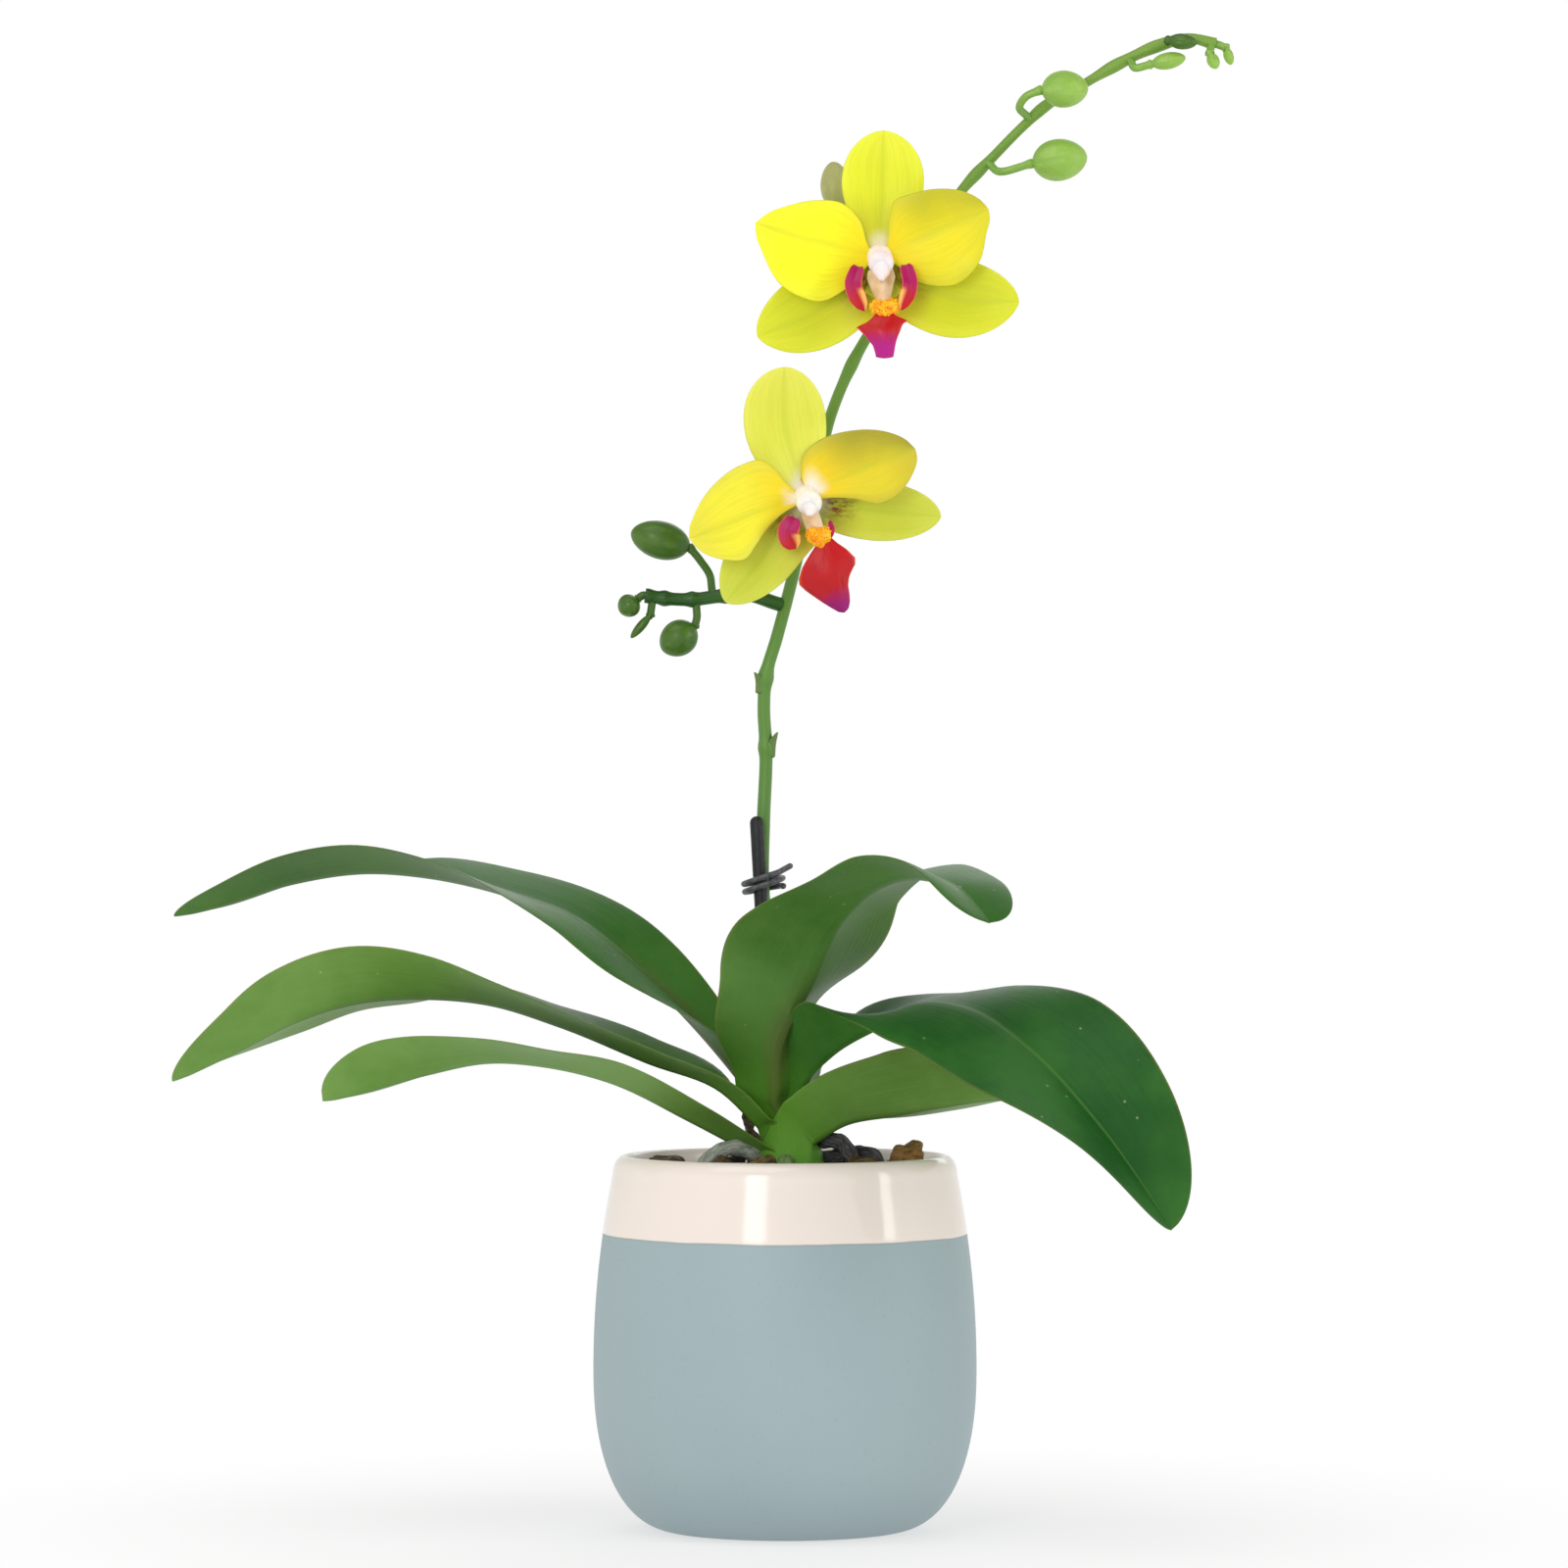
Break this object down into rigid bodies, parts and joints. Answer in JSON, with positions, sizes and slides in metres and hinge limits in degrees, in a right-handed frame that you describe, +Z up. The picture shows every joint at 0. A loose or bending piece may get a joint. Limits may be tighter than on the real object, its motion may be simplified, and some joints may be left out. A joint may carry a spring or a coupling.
{
  "type": "potted moth orchid",
  "caption": "Potted moth orchid: strap leaves on a short crown in a two-tone rounded ceramic pot, with an arching staked spike of yellow red-lipped flowers and buds.",
  "frame": {"origin": "centre of the pot's flat foot, on the surface it stands on", "axes": "+Z up along the pot's axis; -Y towards the front, which the open flowers face; +X to the right as seen from the front, the way the flower spike arches"},
  "size_m": [0.2502, 0.1276, 0.3511],
  "materials": {
    "pot_glaze": "matte grey-blue glaze below, glossy warm cream band above",
    "bark_mix": "dark, rough bark mix",
    "bark": "dark brown bark, rough",
    "stake_black": "satin black",
    "tie": "dark grey coating, satin",
    "crown_green": "smooth bright green",
    "leaf_green": "leathery, satin, dark green above and lighter below",
    "dry_sheath": "dry, papery, grey-brown",
    "root_grey": "velvety silver-green",
    "spike_green": "smooth, satin",
    "bud_green": "smooth, satin",
    "petal_yellow": "soft yellow, faintly pearly",
    "sepal_lime": "soft lime yellow",
    "lip_red": "waxy red and magenta",
    "column_white": "waxy pinkish white",
    "stalk_green": "smooth, satin"
  },
  "bodies": {
    "root": {"bark_chip_1": "bark", "bark_chip_2": "bark", "bark_chip_3": "bark", "bark_chip_4": "bark", "bark_chip_5": "bark", "bark_chip_6": "bark", "bark_chip_7": "bark", "bark_chip_8": "bark", "branch_bud_end": "bud_green", "branch_bud_large": "bud_green", "branch_bud_narrow": "bud_green", "branch_bud_round": "bud_green", "crown": "crown_green", "dry_sheath": "dry_sheath", "flower_spike": "spike_green", "leaf_lower_left": "leaf_green", "leaf_lower_right": "leaf_green", "leaf_middle_left": "leaf_green", "leaf_middle_right": "leaf_green", "leaf_upper_left": "leaf_green", "leaf_upper_right": "leaf_green", "lower_flower_column": "column_white", "lower_flower_dorsal_sepal": "sepal_lime", "lower_flower_left_petal": "petal_yellow", "lower_flower_left_sepal": "sepal_lime", "lower_flower_lip": "lip_red", "lower_flower_right_petal": "petal_yellow", "lower_flower_right_sepal": "sepal_lime", "lower_flower_stalk": "stalk_green", "pot": "pot_glaze", "potting_medium": "bark_mix", "root_back_right": "root_grey", "root_dark": "root_grey", "root_front": "root_grey", "root_front_left": "root_grey", "root_left": "root_grey", "root_right": "root_grey", "side_branch": "spike_green", "spike_bract_lower": "spike_green", "spike_bract_upper": "spike_green", "spike_bud_behind_flower": "bud_green", "spike_bud_end_left": "bud_green", "spike_bud_end_right": "bud_green", "spike_bud_low": "bud_green", "spike_bud_middle": "bud_green", "spike_bud_small": "bud_green", "spike_bud_tiny": "bud_green", "stake": "stake_black", "tie_wire": "tie", "upper_flower_column": "column_white", "upper_flower_dorsal_sepal": "sepal_lime", "upper_flower_left_petal": "petal_yellow", "upper_flower_left_sepal": "sepal_lime", "upper_flower_lip": "lip_red", "upper_flower_right_petal": "petal_yellow", "upper_flower_right_sepal": "sepal_lime", "upper_flower_stalk": "stalk_green"}
  },
  "joints": []
}
